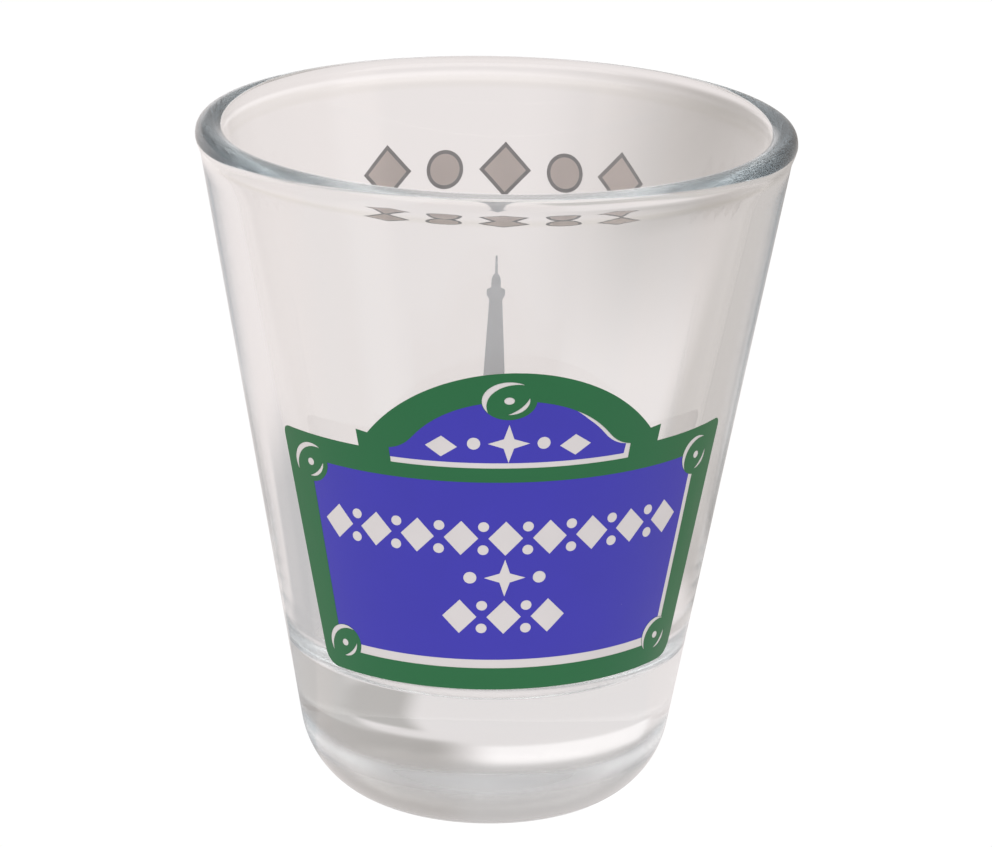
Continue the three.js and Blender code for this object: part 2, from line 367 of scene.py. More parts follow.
def enamel_group() -> NodeTree:
    """Builds the shared enamel effect: screen grain, pinholes and soft mottling.

    Returns:
        The node group with a colour, a height and a roughness output.
    """
    amounts = ("Mottle", "Pinholes", "Gloss Roughness")
    group, inlet, outlet = new_group(
        "fired_enamel",
        {"Ink": "Color", "Ground": "Color", **dict.fromkeys(amounts, "Float")},
        {"Colour": "Color", "Height": "Float", "Roughness": "Float"},
    )
    place = group.nodes.new("ShaderNodeTexCoord").outputs["Object"]
    cloud = noise_field(group, place, *MOTTLE_NOISE)
    grain = noise_field(group, place, *GRAIN_NOISE)
    specks = new_node(group, "ShaderNodeTexVoronoi", Scale=PINHOLE_SCALE)
    link(group, place, specks.inputs["Vector"])

    brighten = new_node(group, "ShaderNodeMapRange", To_Min=-1.0, To_Max=1.0)
    link(group, cloud, brighten.inputs["Value"])
    amount = maths(group, "MULTIPLY", brighten.outputs["Result"], inlet.outputs["Mottle"])
    shade = new_node(group, "ShaderNodeHueSaturation")
    link(group, inlet.outputs["Ink"], shade.inputs["Color"])
    link(group, maths(group, "ADD", 1.0, amount), shade.inputs["Value"])

    hole = maths(group, "LESS_THAN", specks.outputs["Distance"], inlet.outputs["Pinholes"])
    chance = new_node(group, "ShaderNodeSeparateColor")
    link(group, specks.outputs["Color"], chance.inputs["Color"])
    rare = maths(group, "GREATER_THAN", chance.outputs["Red"], PINHOLE_FREE)
    bare = maths(group, "MULTIPLY", hole, rare)
    colour = blend(group, bare, shade.outputs["Color"], inlet.outputs["Ground"])
    gloss = inlet.outputs["Gloss Roughness"]
    rough = maths(group, "MULTIPLY_ADD", cloud, MOTTLE_ROUGHNESS, gloss)
    link(group, colour, outlet.inputs["Colour"])
    link(group, maths(group, "SUBTRACT", grain, bare), outlet.inputs["Height"])
    link(group, rough, outlet.inputs["Roughness"])
    return group


def glass_group() -> NodeTree:
    """Builds the shared pressed-glass surface: slow waves, handling marks, base wear and a thin band of
    painted shade under the lip.

    Returns:
        The node group with a tint that carries the painted shade band, a height and a roughness output.
    """
    amounts = ("Lip Height", "Waviness", "Marks", "Wear", "Pressed", "Floor Radius", "Fired")
    # The Lip input is the painted shade colour of the thin band under the lip, and Lip Height is where
    # that band lies.
    group, inlet, outlet = new_group(
        "pressed_glass_surface",
        {"Clear": "Color", "Lip": "Color", **dict.fromkeys(amounts, "Float")},
        {"Tint": "Color", "Height": "Float", "Roughness": "Float"},
    )
    given = inlet.outputs
    place = group.nodes.new("ShaderNodeTexCoord").outputs["Object"]
    split = new_node(group, "ShaderNodeSeparateXYZ")
    link(group, place, split.inputs[0])
    level = split.outputs["Z"]

    waves = noise_field(group, place, *WAVE_NOISE)
    link(group, maths(group, "MULTIPLY", waves, given["Waviness"]), outlet.inputs["Height"])

    film = new_node(group, "ShaderNodeMapRange", From_Min=MARKS_START, From_Max=MARKS_FULL)
    link(group, noise_field(group, place, *SMEAR_NOISE), film.inputs["Value"])
    rough = maths(group, "MULTIPLY", film.outputs["Result"], given["Marks"])
    foot = smooth_step(group, level, WEAR_END, WEAR_FULL)
    rough = maths(group, "MULTIPLY_ADD", foot, given["Wear"], rough)
    reach = vector_maths(group, "LENGTH", vector_maths(group, "MULTIPLY", place, LEVEL).outputs[0])
    inside = maths(group, "LESS_THAN", reach.outputs["Value"], given["Floor Radius"])
    floor = smooth_step(group, level, PRESSED_END, PRESSED_FULL)
    pressed = maths(group, "MULTIPLY", floor, inside)
    rough = maths(group, "MULTIPLY_ADD", pressed, given["Pressed"], rough)
    crown = smooth_step(group, level, FIRED_END, FIRED_FULL)
    rough = maths(group, "MULTIPLY_ADD", crown, given["Fired"], rough)
    link(group, rough, outlet.inputs["Roughness"])

    # Painted shade: the glass's colour turns darker in a thin band around the Lip Height.
    shade_band_distance = maths(group, "ABSOLUTE", maths(group, "SUBTRACT", level, given["Lip Height"]))
    line = smooth_step(group, shade_band_distance, SHADE_BAND_HALF_WIDTH, 0.0)
    link(group, blend(group, line, given["Clear"], given["Lip"]), outlet.inputs["Tint"])
    return group


def dress(tree: NodeTree, effect: Node, colour: str, bump: Node) -> None:
    """Links an effect's colour, roughness and height to a material's shader.

    Args:
        tree: The material's node tree.
        effect: The group node of the effect.
        colour: Name of its colour output.
        bump: The bump node that its height goes through.
    """
    shader = tree.nodes["Principled BSDF"]
    link(tree, effect.outputs[colour], shader.inputs["Base Color"])
    link(tree, effect.outputs["Roughness"], shader.inputs["Roughness"])
    link(tree, effect.outputs["Height"], bump.inputs["Height"])
    link(tree, bump.outputs["Normal"], shader.inputs["Normal"])


@dataclass(frozen=True)
class Enamel:
    """A fired screen-print ink.

    Attributes:
        name: Material name.
        ink: Colour of the ink, linear.
        ground: Colour that shows in its pinholes, linear.
        mottle: How much the coat's brightness varies.
        pinholes: Size of the bare specks, as a share of the grain cell.
        cover: How much of what lies behind it the coat hides.
        roughness: Roughness of the glossiest spots.
    """

    name: str
    ink: Triple
    ground: Triple
    mottle: float = 0.05
    pinholes: float = 0.012
    cover: float = 1.0
    roughness: float = 0.3

    def material(self, effect: NodeTree) -> Material:
        """Makes the material.

        Args:
            effect: The shared enamel node group.

        Returns:
            The finished material.
        """
        made = bpy.data.materials.new(self.name)
        made.use_nodes = True
        tree = made.node_tree
        shader = tree.nodes["Principled BSDF"]
        shader.inputs["IOR"].default_value = 1.5
        shader.inputs["Specular IOR Level"].default_value = 0.5
        shader.inputs["Alpha"].default_value = self.cover
        coat = new_node(
            tree, "ShaderNodeGroup", node_tree=effect, Ink=(*self.ink, 1), Ground=(*self.ground, 1),
            Mottle=self.mottle, Pinholes=self.pinholes, Gloss_Roughness=self.roughness,
        )
        bump = new_node(tree, "ShaderNodeBump", Strength=0.12, Distance=0.00002)
        dress(tree, coat, "Colour", bump)
        return made


@dataclass(frozen=True)
class ClearGlass:
    """Fire-polished clear glass.

    Attributes:
        name: Material name.
        tint: Colour of light that has passed through both faces of a wall.
        lip_painted_shade: A darker colour painted in a thin band where the fire-polished lip runs into the
            wall, as painted shade.
        lip_height: Where that band of painted shade lies, in metres above the underside.
        depth_tint: Colour that long paths inside the glass turn towards.
        depth: How fast they do, per metre.
        ior: Index of refraction.
        waviness: Height of the slow surface waves, as a share of the bump distance.
        marks: Roughness inside handling marks.
        wear: Roughness of the underside, from standing and sliding.
        pressed: Roughness that the plunger leaves on the floor of the cup.
        floor_radius: What lies within this radius belongs to that floor, in metres.
        fired: Roughness of the lip, which the flame leaves very slightly rippled.
    """

    name: str = "clear_glass"
    tint: Triple = (0.99, 0.985, 0.98)
    # Painted shade: the darker colour of the thin band under the lip.
    lip_painted_shade: Triple = (0.94, 0.93, 0.90)
    lip_height: float = 0.0578
    depth_tint: Triple = (0.36, 0.47, 0.52)
    depth: float = 5.0
    ior: float = 1.5
    waviness: float = 0.5
    marks: float = 0.03
    wear: float = 0.2
    pressed: float = 0.12
    floor_radius: float = 0.0158
    fired: float = 0.05

    def material(self, surface: NodeTree) -> Material:
        """Makes the material.

        Args:
            surface: The shared pressed-glass node group.

        Returns:
            The finished material.
        """
        made = bpy.data.materials.new(self.name)
        made.use_nodes = True
        tree = made.node_tree
        shader = tree.nodes["Principled BSDF"]
        shader.inputs["Metallic"].default_value = 0.0
        shader.inputs["IOR"].default_value = self.ior
        shader.inputs["Transmission Weight"].default_value = 1.0
        skin = new_node(
            tree, "ShaderNodeGroup", node_tree=surface, Clear=(*self.tint, 1),
            Lip=(*self.lip_painted_shade, 1), Lip_Height=self.lip_height, Waviness=self.waviness,
            Marks=self.marks, Wear=self.wear, Pressed=self.pressed,
            Floor_Radius=self.floor_radius, Fired=self.fired,
        )
        bump = new_node(tree, "ShaderNodeBump", Strength=0.25, Distance=0.0001)
        inside = new_node(tree, "ShaderNodeVolumeAbsorption", Density=self.depth)
        inside.inputs["Color"].default_value = (*self.depth_tint, 1)
        link(tree, inside.outputs["Volume"], tree.nodes["Material Output"].inputs["Volume"])
        dress(tree, skin, "Tint", bump)
        return made


# --- Glass body ---


def eased(share: float) -> float:
    """A share from 0 to 1 with a soft start and end."""
    return share * share * (3 - 2 * share)


@dataclass
class ProfilePen:
    """Draws a profile in the XZ plane as a chain of edges, one end always open.

    Attributes:
        mesh: The mesh it draws in.
        tip: The vertex at the open end.
    """

    mesh: BMesh
    tip: BMVert

    def line(self, radius: float, height: float, steps: int = 1) -> None:
        """Draws a straight line to a point, in a number of equal steps."""
        start, end = self.tip.co.copy(), Vector((radius, 0, height))
        for step in range(1, steps + 1):
            made = bmesh.ops.extrude_vert_indiv(self.mesh, verts=[self.tip])
            self.tip = made["verts"][0]
            self.tip.co = start.lerp(end, step / steps)

    def arc(self, radius: float, height: float, angle: float, steps: int) -> list[BMVert]:
        """Spins the open end about a centre.

        Args:
            radius: Radius at which the arc's centre lies.
            height: Height at which the arc's centre lies.
            angle: How far it turns in degrees, anticlockwise with the axis on the left.
            steps: Number of straight steps.

        Returns:
            The new vertices.
        """
        before = set(self.mesh.verts)
        made = bmesh.ops.spin(
            self.mesh, geom=[self.tip], cent=(radius, 0, height), axis=(0, -1, 0),
            angle=math.radians(angle), steps=steps, use_duplicate=False,
        )
        self.tip = next(item for item in made["geom_last"] if isinstance(item, BMVert))
        return [vert for vert in self.mesh.verts if vert not in before]


@dataclass
class GlassBody:
    """The pressed glass: thick base, straight conical wall and round rim. Sizes in mm."""

    height: float = 60.0
    rim_radius: float = 25.64
    wall_base_radius: float = 15.12
    heel_width: float = 5.24
    heel_height: float = 6.23
    punt_radius: float = 7.2
    punt_depth: float = 0.6
    bead: float = 1.2
    bead_blend: float = 1.4
    crown: float = 0.78
    lip_height: float = 1.8
    lip_swell: float = 0.03
    floor_height: float = 13.0
    floor_corner: float = 4.0
    floor_radius: float = 15.0
    segments: int = 288
    punt_steps: int = 8
    swell_steps: int = 4
    lip_steps: int = 8

    @property
    def slope(self) -> float:
        """How much the wall's radius grows for each mm of height."""
        return (self.rim_radius - self.wall_base_radius) / self.height

    def wall_radius(self, height: float) -> float:
        """Outer radius of the conical wall at a height."""
        return self.wall_base_radius + self.slope * height

    def build(self) -> Object:
        """Draws the profile and spins it.

        Returns:
            The glass body as an object.
        """
        mesh = bmesh.new()
        pen = ProfilePen(mesh, mesh.verts.new((0, 0, self.punt_depth)))
        self._underside(pen)
        self._outer_wall(pen)
        self._inside(pen)
        bmesh.ops.spin(
            mesh, geom=mesh.verts[:] + mesh.edges[:], cent=(0, 0, 0), axis=(0, 0, 1),
            angle=2 * math.pi, steps=self.segments, use_merge=True, use_duplicate=False,
        )
        bmesh.ops.remove_doubles(mesh, verts=mesh.verts, dist=MERGE)
        bmesh.ops.recalc_face_normals(mesh, faces=mesh.faces)
        return finish_mesh(mesh, "glass", smooth_below=180)

    def _underside(self, pen: ProfilePen) -> None:
        """A shallow dome inside the flat bearing ring that the glass stands on."""
        for step in range(1, self.punt_steps + 1):
            across = step / self.punt_steps
            pen.line(self.punt_radius * across, self.punt_depth * (1 - across**2) ** 2)
        pen.line(self.wall_base_radius - self.heel_width, 0, steps=3)

    def _outer_wall(self, pen: ProfilePen) -> None:
        """The heel, an elliptical quarter that leans with the wall, then the wall and the rim.

        Args:
            pen: The pen that draws the profile.
        """
        flat = self.wall_base_radius - self.heel_width
        heel = pen.arc(flat, self.heel_width, angle=90, steps=24)
        stretch = Matrix(((1, 0, 0), (0, 1, 0), (0, 0, self.heel_height / self.heel_width)))
        for vert in heel:
            vert.co = stretch @ vert.co
            vert.co.x += self.slope * vert.co.z
        neck = self.height - self.bead - self.bead_blend
        bead_height = self.height - self.bead
        pen.line(self.wall_radius(neck), neck, steps=36)
        for step in range(1, self.swell_steps + 1):
            share = step / self.swell_steps
            level = neck + (bead_height - neck) * share
            bulge = (self.rim_radius - self.wall_radius(bead_height)) * eased(share)
            pen.line(self.wall_radius(level) + bulge, level)
        middle = self.rim_radius - self.bead
        for vert in pen.arc(middle, bead_height, angle=180, steps=40):
            vert.co.x = middle + self._flattened(vert.co.x - middle)
            vert.co.z = bead_height + self._flattened(vert.co.z - bead_height)

    def _flattened(self, offset: float) -> float:
        """Moves a point of the round bead outwards along one axis, which flattens its crown."""
        share = min(abs(offset) / self.bead, 1)
        return math.copysign(self.bead * share**self.crown, offset)

    def _inside(self, pen: ProfilePen) -> None:
        """The cavity: a conical wall, a rounded corner and a nearly flat floor.

        Args:
            pen: The pen that draws the profile.
        """
        bottom = self.floor_height + self.floor_corner
        top = self.height - self.bead
        lip = self.rim_radius - 2 * self.bead
        slope = (lip + self.lip_swell - self.floor_radius) / (top - bottom)
        for step in range(1, self.lip_steps + 1):
            share = step / self.lip_steps
            level = top - self.lip_height * share
            pen.line(lip + self.lip_swell * eased(share) - slope * (top - level), level)
        pen.line(self.floor_radius, bottom, steps=40)
        pen.arc(self.floor_radius - self.floor_corner, bottom, angle=-90, steps=16)
        pen.line(0, self.floor_height, steps=10)


# --- Prints ---


@dataclass
class PrintPress:
    """Turns flat outlines into thin curved coats on the glass wall.

    Attributes:
        glass: The body that is printed on.
        across: Spacing of the cuts that let a coat bend, mm.
        along: Spacing of the cuts across the wall's height, mm.
    """

    glass: GlassBody
    across: float = 0.4
    along: float = 1.6

    def coat(
        self, name: str, outline: Outline, holes: Iterable[Outline], layer: Layer, axis: float
    ) -> Object:
        """Makes one coat.

        Args:
            name: Name of the piece.
            outline: Its closed outer outline.
            holes: Closed outlines that are left bare.
            layer: Which coat it is.
            axis: Where its centre line is on the wall, in degrees round from the front.

        Returns:
            The coat as an object.
        """
        mesh = bmesh.new()
        for loop in (outline, *holes):
            verts = [mesh.verts.new((point.x, point.y, 0)) for point in loop]
            for start, end in zip(verts, verts[1:] + verts[:1]):
                mesh.edges.new((start, end))
        bmesh.ops.triangle_fill(mesh, use_beauty=True, edges=mesh.edges, normal=(0, 0, 1))
        self._cut(mesh, Vector((1, 0, 0)), self.across)
        self._cut(mesh, Vector((0, 1, 0)), self.along)
        bmesh.ops.triangulate(mesh, faces=mesh.faces)
        low, high = layer.value
        top = self._raise(mesh, high - low)
        for vert in mesh.verts:
            vert.co = self._wrapped(vert.co, high if vert in top else low, math.radians(axis))
        bmesh.ops.recalc_face_normals(mesh, faces=mesh.faces)
        return finish_mesh(mesh, name, smooth_below=30)

    @staticmethod
    def _cut(mesh: BMesh, direction: Vector, spacing: float) -> None:
        """Cuts the flat sheet by planes at equal spacing along a direction.

        Args:
            mesh: The flat sheet.
            direction: Normal of the planes.
            spacing: Distance between them.
        """
        reach = [vert.co.dot(direction) for vert in mesh.verts]
        first, last = math.floor(min(reach) / spacing) + 1, math.ceil(max(reach) / spacing)
        for index in range(first, last):
            bmesh.ops.bisect_plane(
                mesh, geom=mesh.verts[:] + mesh.edges[:] + mesh.faces[:], dist=MERGE,
                plane_co=direction * spacing * index, plane_no=direction,
            )

    @staticmethod
    def _raise(mesh: BMesh, thickness: float) -> set[BMVert]:
        """Extrudes the sheet to a closed plate.

        Args:
            mesh: The flat sheet.
            thickness: How far it is extruded.

        Returns:
            The vertices of the upper face.
        """
        lower = mesh.faces[:]
        made = bmesh.ops.extrude_face_region(mesh, geom=lower, use_keep_orig=True)
        top = {item for item in made["geom"] if isinstance(item, BMVert)}
        bmesh.ops.translate(mesh, verts=list(top), vec=(0, 0, thickness))
        return top

    def _wrapped(self, flat: Vector, proud: float, axis: float) -> Vector:
        """Where a point of the unrolled wall lies on the glass, a little proud of it.

        Args:
            flat: The point on the unrolled wall.
            proud: Its distance from the wall.
            axis: Angle of the print's centre line in radians.

        Returns:
            The point on the glass.
        """
        radius = self.glass.wall_radius(flat.y)
        angle = axis + flat.x / radius
        return Vector(((radius + proud) * math.sin(angle), -(radius + proud) * math.cos(angle), flat.y))


@dataclass
class Bolt:
    """An oval bolt head drawn on the plaque.

    Attributes:
        centre: Its middle on the unrolled wall, mm.
        half: Its half width and half height, mm.
    """

    centre: Vector
    half: Vector

    def placed(self, unit: Outline) -> Outline:
        """An outline drawn round the unit circle, brought to this bolt's place and size."""
        return [self.centre + point * self.half for point in unit]

    def bite(self, outline: Outline) -> Outline:
        """The outline with this bolt's oval cut out of its edge.

        Args:
            outline: A closed outline, drawn anticlockwise.

        Returns:
            The bitten outline.
        """
        centre, half = self.centre, self.half
        unit = [Vector(((p.x - centre.x) / half.x, (p.y - centre.y) / half.y)) for p in outline]
        return self.placed(bitten(unit))

    def marks(self) -> list[Outline]:
        """The bare glint, shade and dot inside the head.

        Returns:
            The three closed outlines.
        """
        glint = crescent(radius=0.985, thickness=0.27, span=165, facing=138)
        shade = crescent(radius=0.74, thickness=0.17, span=105, facing=-42)
        return [self.placed(mark) for mark in (glint, shade, disc(ORIGIN, radius=0.19, steps=20))]


@dataclass
class Plaque:
    """The sign-shaped front print: white ground, two blue fields and a green border. Sizes in mm."""

    press: PrintPress
    tilt: float = 0.7
    middle: float = 26.0
    bottom: float = 15.2
    top: float = 37.05
    bottom_half: float = 16.9
    top_half: float = 22.0
    corner: float = 1.5
    ear: float = 0.9
    horn: Vector = spot(13.5, 38.55)
    horn_step: float = 13.2
    arch_half: float = 12.4
    arch_foot: float = 38.4
    arch_top: float = 44.7
    field_bottom: float = 17.25
    field_top: float = 34.75
    field_bottom_half: float = 15.1
    field_top_half: float = 18.5
    arch_field_bottom: float = 36.05
    arch_field_top: float = 42.2
    arch_field_half: float = 10.4
    arch_field_tip: float = 37.35
    field_highlight: Vector = spot(-0.4, 0.82)
    arch_highlight: Vector = spot(-0.45, 0.48)
    shoulder_start: float = 3.8
    shoulder_run: float = 2.6
    shoulder_gap: float = 0.42
    arch_shoulder: float = 4.8
    arch_shoulder_drop: float = 0.15
    toe: float = 0.2
    toe_pull: float = 1.2
    toe_rise: float = 1.2
    toe_run: float = 2.0
    upper_bolt: Vector = spot(18.4, 34.4)
    upper_bolt_half: Vector = spot(1.95, 1.8)
    lower_bolt: Vector = spot(14.75, 17.85)
    lower_bolt_half: Vector = spot(1.74, 1.74)
    arch_bolt: Vector = spot(-0.35, 42.2)
    arch_bolt_half: Vector = spot(2.3, 1.72)
    lozenge_half: Vector = spot(1.45, 1.6)
    lozenge_pitch: float = 3.72
    row_middle: float = -0.35
    row_stud: float = 0.46
    row_stud_rise: float = 1.08
    upper_row: float = 29.55
    upper_count: int = 9
    lower_row: float = 22.15
    lower_count: int = 3
    field_star: float = 25.85
    star_reach: float = 1.75
    star_waist: float = 0.61
    star_stud: float = 0.55
    star_stud_place: float = 2.9
    arch_star: Vector = spot(-0.3, 38.3)
    arch_lozenge: Vector = spot(5.6, -0.35)
    arch_lozenge_width: float = 1.35
    arch_lozenge_height: float = 0.95

    def build(self) -> dict[str, Object]:
        """Makes the four coats.

        Returns:
            Each coat by the name of the CAD node that it stands for.
        """
        window, arch_window = self._field(), self._arch_field()
        blue_field = moved(window, self.field_highlight)
        blue_arch = self._arch_blue()
        for bolt in self._bolts():
            window, arch_window = bolt.bite(window), bolt.bite(arch_window)
            blue_field, blue_arch = bolt.bite(blue_field), bolt.bite(blue_arch)
        marks = [mark for bolt in self._bolts() for mark in bolt.marks()]
        return {
            "plaque_white_ground": self._coat("ground", self._outline(), [], Layer.GROUND),
            "plaque_blue_field": self._coat("field", blue_field, self._field_ornament(), Layer.COLOUR),
            "plaque_blue_arch": self._coat("arch", blue_arch, self._arch_ornament(), Layer.COLOUR),
            "plaque_green_border": self._coat(
                "border", self._outline(), [window, arch_window, *marks], Layer.BORDER
            ),
        }

    def _coat(self, name: str, outline: Outline, holes: list[Outline], layer: Layer) -> Object:
        """One coat of the plaque, turned to the plaque's slight tilt before it is wrapped."""
        turned = [self._tilted(loop) for loop in (outline, *holes)]
        return self.press.coat(f"enamel_{name}", turned[0], turned[1:], layer, 0)

    def _tilted(self, loop: Outline) -> Outline:
        """The outline turned about the plaque's middle.

        Args:
            loop: A closed outline.

        Returns:
            The turned outline.
        """
        middle = Vector((0, self.middle))
        turn = Matrix.Rotation(math.radians(self.tilt), 2)
        return [middle + turn @ (point - middle) for point in loop]

    def _bolts(self) -> list[Bolt]:
        """Two upper and two lower corner bolts, and the wide one at the top of the arch.

        Returns:
            The five bolts.
        """
        pairs = ((self.upper_bolt, self.upper_bolt_half), (self.lower_bolt, self.lower_bolt_half))
        corners = [Bolt(beside(place, side), half) for place, half in pairs for side in SIDES]
        return [*corners, Bolt(self.arch_bolt, self.arch_bolt_half)]

    def _outline(self) -> Outline:
        """The plaque's outer edge: flared sides, level ears, small horns and a round arch.

        Returns:
            The closed outline.
        """
        flare = (self.top_half - self.bottom_half) / (self.top - self.bottom)
        rise = self.arch_top - self.arch_foot
        radius = (self.arch_half**2 + rise**2) / (2 * rise)
        start = math.degrees(math.acos(self.arch_half / radius))
        low = Vector((self.bottom_half - self.corner, self.bottom))
        high = Vector((self.top_half - flare * self.ear, self.top - self.ear))
        corner_end = Vector((self.bottom_half + flare * self.corner, self.bottom + self.corner))
        half = [Vector((0, self.bottom)), low]
        half += bend(low, Vector((self.bottom_half, self.bottom)), corner_end)
        half += [high]
        half += bend(high, Vector((self.top_half, self.top)), Vector((self.top_half - self.ear, self.top)))
        half += [Vector((self.horn_step, self.top)), self.horn]
        half += arc(Vector((0, self.arch_top - radius)), radius, radius, start, 90, steps=40)
        return mirrored(half)

    def _field(self) -> Outline:
        """The window for the main blue field.

        Returns:
            The closed outline.
        """
        low = [Vector((side * self.field_bottom_half, self.field_bottom)) for side in SIDES]
        high = [Vector((side * self.field_top_half, self.field_top)) for side in (1, -1)]
        return low + high

    def _arch_field(self) -> Outline:
        """The window for the blue field in the arch, with its two pointed feet.

        Returns:
            The closed outline.
        """
        width, tip, top = self.arch_field_half, self.arch_field_tip, self.arch_field_top
        sole = self.arch_field_bottom
        half = [Vector((0, sole)), Vector((width - self.toe, sole)), Vector((width, tip))]
        knee = Vector((width - self.toe_run, tip + self.toe_rise))
        half += bend(half[-1], Vector((width - self.toe_pull, tip + self.toe)), knee, steps=10)
        shoulder = Vector((width - self.arch_shoulder, top - self.arch_shoulder_drop))
        half += bend(knee, shoulder, Vector((0, top)), steps=24)
        return mirrored(half)

    def _arch_blue(self) -> Outline:
        """The arch's blue: its window moved up and left, the right shoulder pulled in a little.

        Returns:
            The closed outline.
        """
        blue = moved(self._arch_field(), self.arch_highlight)
        foot = self.arch_field_tip
        for point in blue:
            if point.y > foot:
                share = min(max((point.x - self.shoulder_start) / self.shoulder_run, 0), 1)
                point.y -= self.shoulder_gap * share
        return blue

    def _row(self, height: float, count: int) -> list[Outline]:
        """A row of lozenges, with one stud above and one below the gap between each two.

        Args:
            height: Height of the lozenges' centres.
            count: How many lozenges.

        Returns:
            The closed outlines.
        """
        pitch = self.lozenge_pitch
        first = self.row_middle - pitch * (count - 1) / 2
        shapes = [
            lozenge(Vector((first + index * pitch, height)), *self.lozenge_half) for index in range(count)
        ]
        for index in range(count - 1):
            for side in SIDES:
                place = Vector((first + (index + 0.5) * pitch, height + side * self.row_stud_rise))
                shapes.append(disc(place, self.row_stud, steps=24))
        return shapes

    def _star(self, centre: Vector) -> list[Outline]:
        """A star with a stud on each side.

        Args:
            centre: Middle of the star.

        Returns:
            The closed outlines.
        """
        places = [centre + Vector((side * self.star_stud_place, 0)) for side in SIDES]
        studs = [disc(place, self.star_stud, steps=24) for place in places]
        return [star(centre, self.star_reach, self.star_waist), *studs]

    def _field_ornament(self) -> list[Outline]:
        """Bare shapes in the main field: two rows of lozenges with a star between them.

        Returns:
            The closed outlines.
        """
        upper = self._row(self.upper_row, self.upper_count)
        middle = self._star(Vector((self.row_middle, self.field_star)))
        return [*upper, *middle, *self._row(self.lower_row, self.lower_count)]

    def _arch_ornament(self) -> list[Outline]:
        """Bare shapes in the arch: a star, two studs and two lozenges.

        Returns:
            The closed outlines.
        """
        places = [self.arch_star + beside(self.arch_lozenge, side) for side in SIDES]
        size = self.arch_lozenge_width, self.arch_lozenge_height
        return [*self._star(self.arch_star), *(lozenge(place, *size) for place in places)]


@dataclass
class BackPrints:
    """The tower and the ornament frieze on the back of the wall. Sizes in mm."""

    press: PrintPress
    tower_axis: float = 174.1
    frieze_axis: float = 172.7
    frieze_height: float = 49.7
    frieze_pitch: float = 5.7
    frieze_count: int = 5
    frieze_rim: float = 0.34
    lozenge_half: Vector = spot(2.45, 2.5)
    disc_radius: float = 1.75

    def tower(self) -> Object:
        """A plain look-out tower: mast, cap, gallery, tapering shaft and a stepped foot.

        Returns:
            The tower as an object.
        """
        foot, knee, cap = Vector((4.2, 17)), Vector((3.2, 18.2)), Vector((0.46, 39.5))
        gallery = ((0.64, 37.8), (0.9, 38.2), (0.9, 38.7), (0.46, 38.9), cap)
        half = [Vector((0, foot.y)), foot, Vector((foot.x, knee.y)), knee]
        half += bend(knee, Vector((1.6, 24)), Vector((1.05, 31.3)))
        half += [Vector(point) for point in gallery]
        half += bend(cap, Vector((0.4, 39.95)), Vector((0.14, 40.1)), steps=6)
        half += [Vector((0.1, 41.7)), Vector((0, 41.75))]
        return self.press.coat("enamel_tower", mirrored(half), [], Layer.GROUND, self.tower_axis)

    def motif(self, index: int, inset: float) -> Outline:
        """The outline of one frieze motif, drawn in by an inset: lozenges and discs in turn.

        Args:
            index: Which motif, counted from 0.
            inset: How far inside its outer edge.

        Returns:
            The closed outline.
        """
        centre = Vector(((index - (self.frieze_count - 1) / 2) * self.frieze_pitch, self.frieze_height))
        if index % 2 == 1:
            return disc(centre, self.disc_radius - inset)
        corner = inset * math.sqrt(2)
        return lozenge(centre, self.lozenge_half.x - corner, self.lozenge_half.y - corner)

    def frieze(self, index: int) -> dict[str, Object]:
        """Makes the dark rim and the lighter fill of one frieze motif.

        Args:
            index: Which motif, counted from 0.

        Returns:
            Both pieces by the name of the CAD node that each stands for.
        """
        number = index + 1
        outer, inner = self.motif(index, 0), self.motif(index, self.frieze_rim)
        rim = self.press.coat(f"enamel_rim_{number}", outer, [inner], Layer.GROUND, self.frieze_axis)
        fill = self.press.coat(f"enamel_fill_{number}", inner, [], Layer.GROUND, self.frieze_axis)
        return {f"frieze_rim_{number}": rim, f"frieze_fill_{number}": fill}


# --- Meshes and handing over ---


def add_object(name: str, data: ID) -> Object:
    """Makes an object of some data and puts it in the scene.

    Args:
        name: Name of the object.
        data: Its mesh, light or camera.

    Returns:
        The object.
    """
    made = bpy.data.objects.new(name, data)
    bpy.context.scene.collection.objects.link(made)
    return made


def mesh_object(mesh: BMesh, name: str) -> Object:
    """Makes an object of a mesh, which is freed.

    Args:
        mesh: The finished mesh.
        name: Name of the object.

    Returns:
        The object.
    """
    data = bpy.data.meshes.new(name)
    mesh.to_mesh(data)
    mesh.free()
    return add_object(name, data)


def finish_mesh(mesh: BMesh, name: str, smooth_below: float) -> Object:
    """Scales a mesh from mm to metres, smooths it and makes an object of it.

    Args:
        mesh: The finished shape in mm. It is freed.
        name: Name of the object.
        smooth_below: Edges flatter than this angle in degrees are shaded smooth.

    Returns:
        The object, at the origin.
    """
    bmesh.ops.scale(mesh, vec=(MM, MM, MM), verts=mesh.verts)
    for face in mesh.faces:
        face.smooth = True
    for edge in mesh.edges:
        edge.smooth = edge.calc_face_angle(0) < math.radians(smooth_below)
    return mesh_object(mesh, name)


def hand_over(piece: Object, node: str, material: Material) -> None:
    """Dresses a piece, puts it on the body and lets it stand for its CAD node.

    Args:
        piece: The finished piece.
        node: The CAD node that it replaces.
        material: The material it wears.
    """
    piece.data.materials.append(material)
    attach(piece, BODY)
    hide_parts(node)
    LOG.info("%s stands for %s with %d faces", piece.name, node, len(piece.data.polygons))


# --- Studio ---


